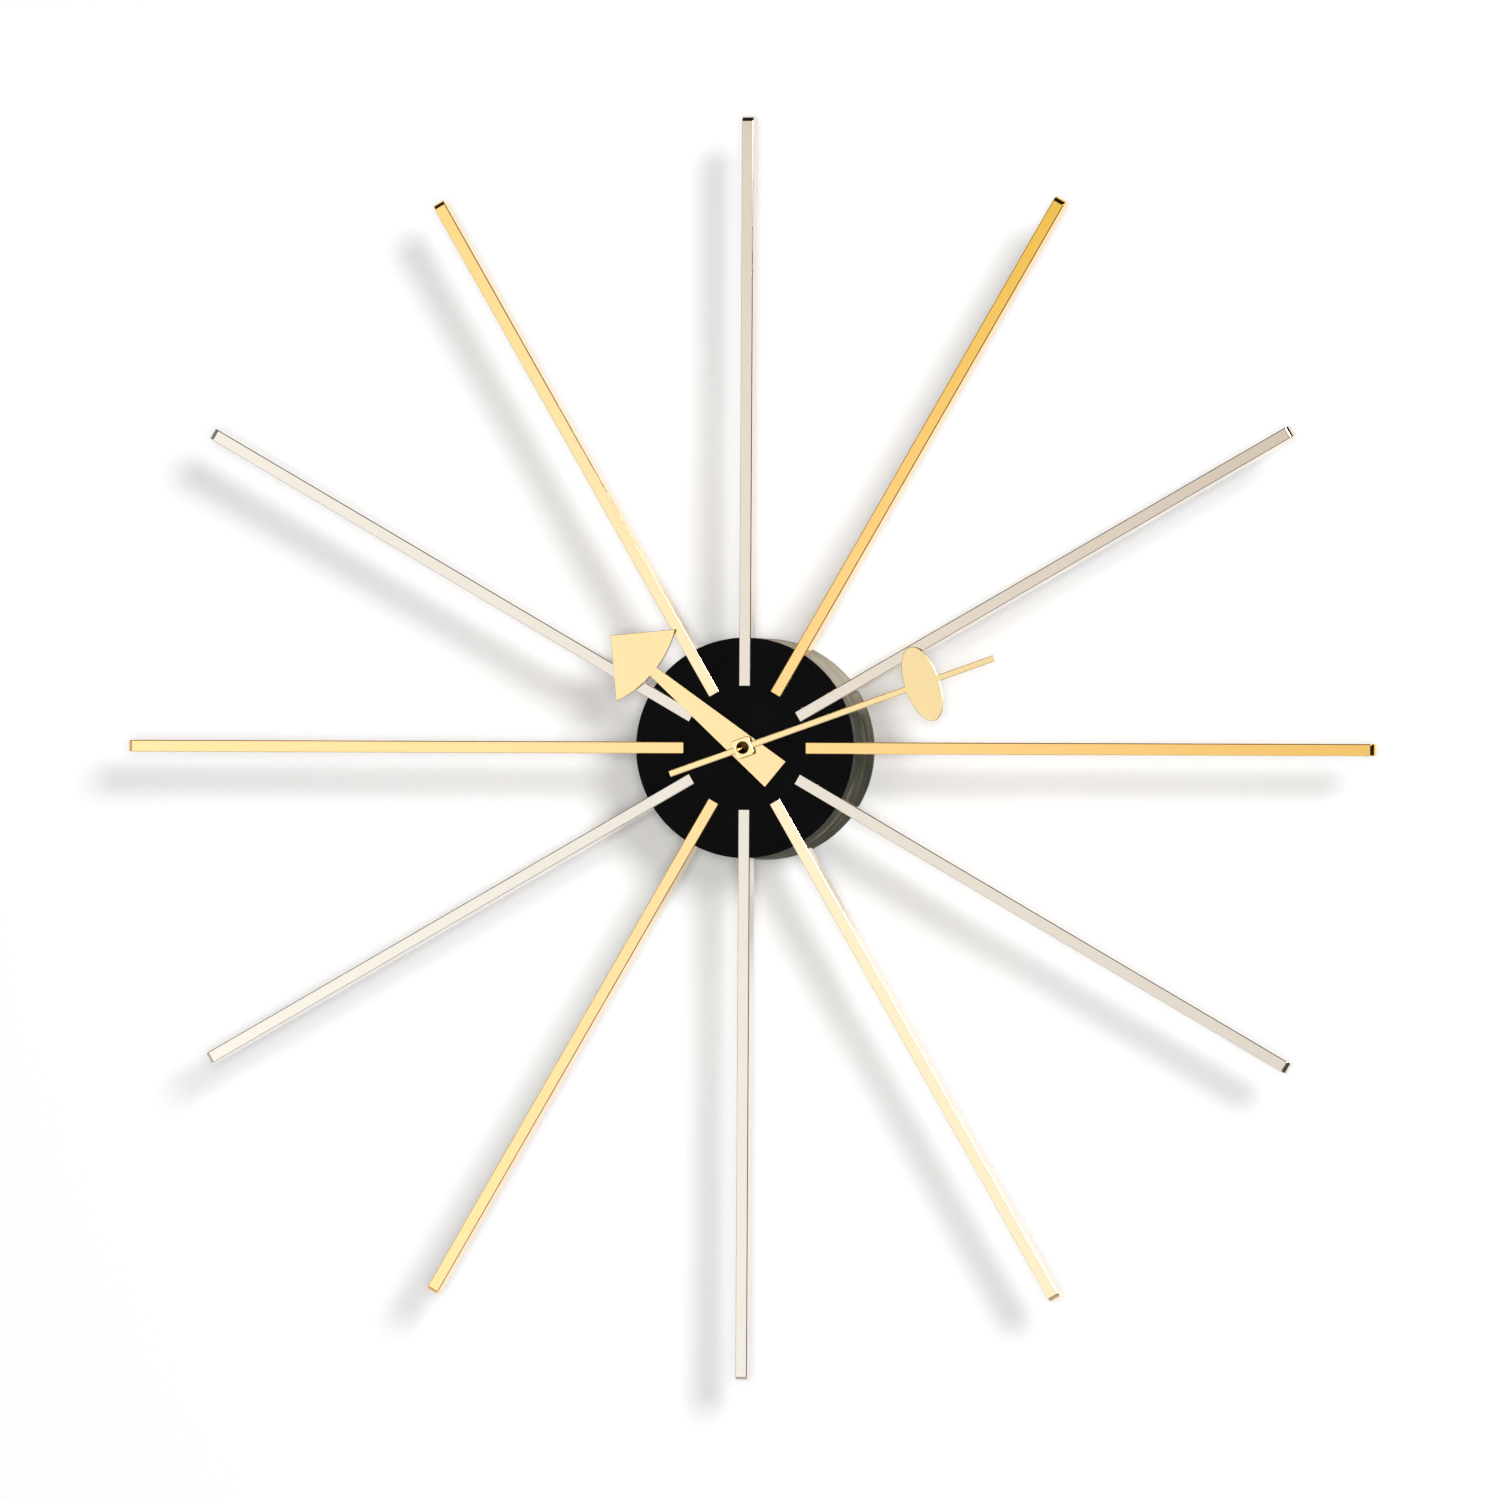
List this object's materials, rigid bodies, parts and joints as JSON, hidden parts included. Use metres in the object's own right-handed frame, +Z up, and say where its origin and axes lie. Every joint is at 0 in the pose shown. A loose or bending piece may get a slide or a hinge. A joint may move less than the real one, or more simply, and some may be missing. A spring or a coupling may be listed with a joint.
{
  "type": "sunburst wall clock",
  "caption": "Wall clock with long polished metal bars radiating from a round black hub, a barbed hour hand and a minute hand with an oval disc.",
  "frame": {"origin": "centre of the back face that lies against the wall, on the hub's axis", "axes": "+Y points into the wall, so the dial faces -Y; +Z is up, towards twelve o'clock; +X is towards three o'clock"},
  "size_m": [0.61, 0.0676, 0.61],
  "materials": {
    "polished_nickel": "polished",
    "polished_brass": "polished",
    "black_lacquer": "satin",
    "carrier_alloy": "machined",
    "case_nickel": "brushed",
    "plate_steel": "satin",
    "standoff_brass": "machined",
    "screw_steel": "plated",
    "movement_plastic": "moulded",
    "gasket_rubber": "matte",
    "nut_brass": "machined",
    "battery_sleeve": "gloss",
    "contact_steel": "plated",
    "board_green": "solder mask",
    "chip_black": "gloss",
    "crystal_can": "plated",
    "coil_copper": "enamelled wire",
    "stator_iron": "stamped",
    "gear_plastic": "moulded",
    "magnet_grey": "sintered",
    "arbor_brass": "turned",
    "knob_plastic": "moulded",
    "hand_gold": "gold anodised"
  },
  "bodies": {
    "clock_body": {"ray_bar_12_oclock": "polished_nickel", "ray_bar_2_oclock": "polished_nickel", "ray_bar_4_oclock": "polished_nickel", "ray_bar_6_oclock": "polished_nickel", "ray_bar_8_oclock": "polished_nickel", "ray_bar_10_oclock": "polished_nickel", "ray_bar_1_oclock": "polished_brass", "ray_bar_3_oclock": "polished_brass", "ray_bar_5_oclock": "polished_brass", "ray_bar_7_oclock": "polished_brass", "ray_bar_9_oclock": "polished_brass", "ray_bar_11_oclock": "polished_brass", "front_disc": "black_lacquer", "bar_carrier": "carrier_alloy", "hub_case": "case_nickel", "back_plate": "plate_steel", "back_standoffs": "standoff_brass", "bar_screws": "screw_steel", "disc_screws": "screw_steel", "standoff_front_screws": "screw_steel", "back_plate_screws": "screw_steel", "movement_front_case": "movement_plastic", "movement_rear_case": "movement_plastic", "movement_gasket": "gasket_rubber", "movement_washer": "nut_brass", "movement_nut": "nut_brass", "battery_contact_positive": "contact_steel", "battery_contact_negative": "contact_steel", "circuit_board": "board_green", "clock_chip": "chip_black", "quartz_crystal": "crystal_can", "drive_coil": "coil_copper", "coil_stator": "stator_iron"},
    "minute_hand": {"minute_arbor": "arbor_brass", "minute_hand": "hand_gold", "minute_hand_boss": "hand_gold", "hand_nut": "arbor_brass"},
    "hour_hand": {"hour_wheel": "gear_plastic", "hour_hand": "hand_gold", "hour_hand_collet": "hand_gold"},
    "setting_arbor": {"minute_wheel": "gear_plastic", "setting_knob": "knob_plastic"},
    "centre_wheel": {"centre_wheel": "gear_plastic"},
    "third_wheel": {"third_wheel": "gear_plastic"},
    "seconds_wheel": {"seconds_wheel": "gear_plastic"},
    "relay_wheel": {"relay_wheel": "gear_plastic"},
    "motor_rotor": {"rotor": "gear_plastic", "rotor_magnet": "magnet_grey"},
    "battery": {"battery": "battery_sleeve"}
  },
  "joints": [
    {"name": "minute_hand_turn", "type": "hinge", "parent": "clock_body", "child": "minute_hand", "pos_m": [0, -0.0654, 0], "axis": [0, 1, 0], "continuous": true},
    {"name": "hour_hand_turn", "type": "hinge", "parent": "clock_body", "child": "hour_hand", "pos_m": [0, -0.0635, 0], "axis": [0, 1, 0], "continuous": true},
    {"name": "setting_arbor_turn", "type": "hinge", "parent": "clock_body", "child": "setting_arbor", "pos_m": [-0.01, -0.02735, 0], "axis": [0, 1, 0], "continuous": true},
    {"name": "rotor_turn", "type": "hinge", "parent": "clock_body", "child": "motor_rotor", "pos_m": [0.01206, -0.0339, -0.0035], "axis": [0, 1, 0], "continuous": true},
    {"name": "relay_wheel_turn", "type": "hinge", "parent": "clock_body", "child": "relay_wheel", "pos_m": [0.00606, -0.0339, -0.0035], "axis": [0, 1, 0], "continuous": true},
    {"name": "seconds_wheel_turn", "type": "hinge", "parent": "clock_body", "child": "seconds_wheel", "pos_m": [0, -0.0355, 0], "axis": [0, 1, 0], "continuous": true},
    {"name": "third_wheel_turn", "type": "hinge", "parent": "clock_body", "child": "third_wheel", "pos_m": [0.00636, -0.0372, 0.00636], "axis": [0, 1, 0], "continuous": true},
    {"name": "centre_wheel_turn", "type": "hinge", "parent": "clock_body", "child": "centre_wheel", "pos_m": [0, -0.0392, 0], "axis": [0, 1, 0], "continuous": true},
    {"name": "battery_slide", "type": "slide", "parent": "clock_body", "child": "battery", "axis": [0, 1, 0], "range_m": [0, 0.04]}
  ],
  "couplings": [
    {"joint": "hour_hand_turn", "follows": "minute_hand_turn", "ratio": 0.083333},
    {"joint": "setting_arbor_turn", "follows": "minute_hand_turn", "ratio": -0.33333},
    {"joint": "relay_wheel_turn", "follows": "rotor_turn", "ratio": -0.2},
    {"joint": "seconds_wheel_turn", "follows": "rotor_turn", "ratio": 0.033333},
    {"joint": "third_wheel_turn", "follows": "rotor_turn", "ratio": -0.0044444},
    {"joint": "centre_wheel_turn", "follows": "rotor_turn", "ratio": 0.00055556}
  ]
}
